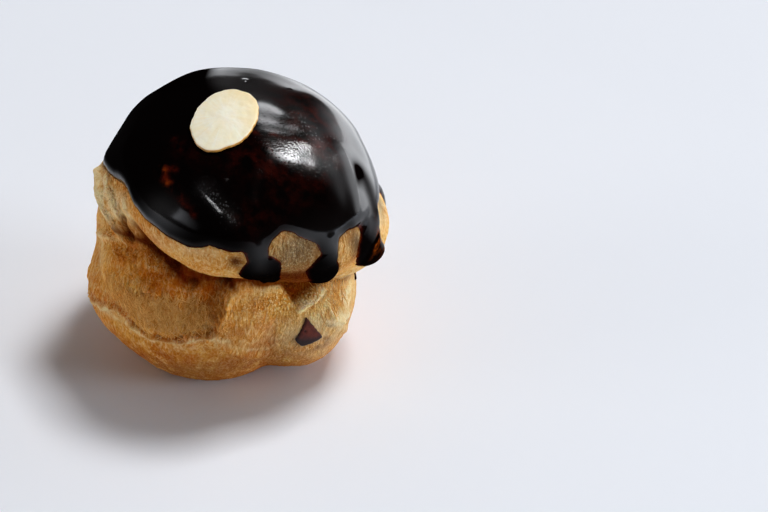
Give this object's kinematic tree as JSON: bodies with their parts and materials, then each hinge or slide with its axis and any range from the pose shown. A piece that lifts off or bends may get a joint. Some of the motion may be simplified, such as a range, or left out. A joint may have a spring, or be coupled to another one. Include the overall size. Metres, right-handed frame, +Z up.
{
  "type": "cream puff",
  "caption": "Lobed choux bun with a deep side crease, poured chocolate glaze with drips, and a flaked almond on top.",
  "frame": {"origin": "on the flat base under the middle of the bun", "axes": "+Z up, -Y towards the front with the torn crust and the glaze drips, +X to the right of that front"},
  "size_m": [0.0597, 0.0544, 0.0607],
  "materials": {
    "choux": "dry baked crust, golden brown, paler on the swollen lobes",
    "glaze": "wet-looking dark chocolate glaze, reddish where thin",
    "almond": "dry cut almond, cream white with a pale rim",
    "splash": "thin dried chocolate"
  },
  "bodies": {
    "root": {"choux_bun": "choux", "chocolate_glaze": "glaze", "almond_flake": "almond", "chocolate_splash": "splash"}
  },
  "joints": []
}
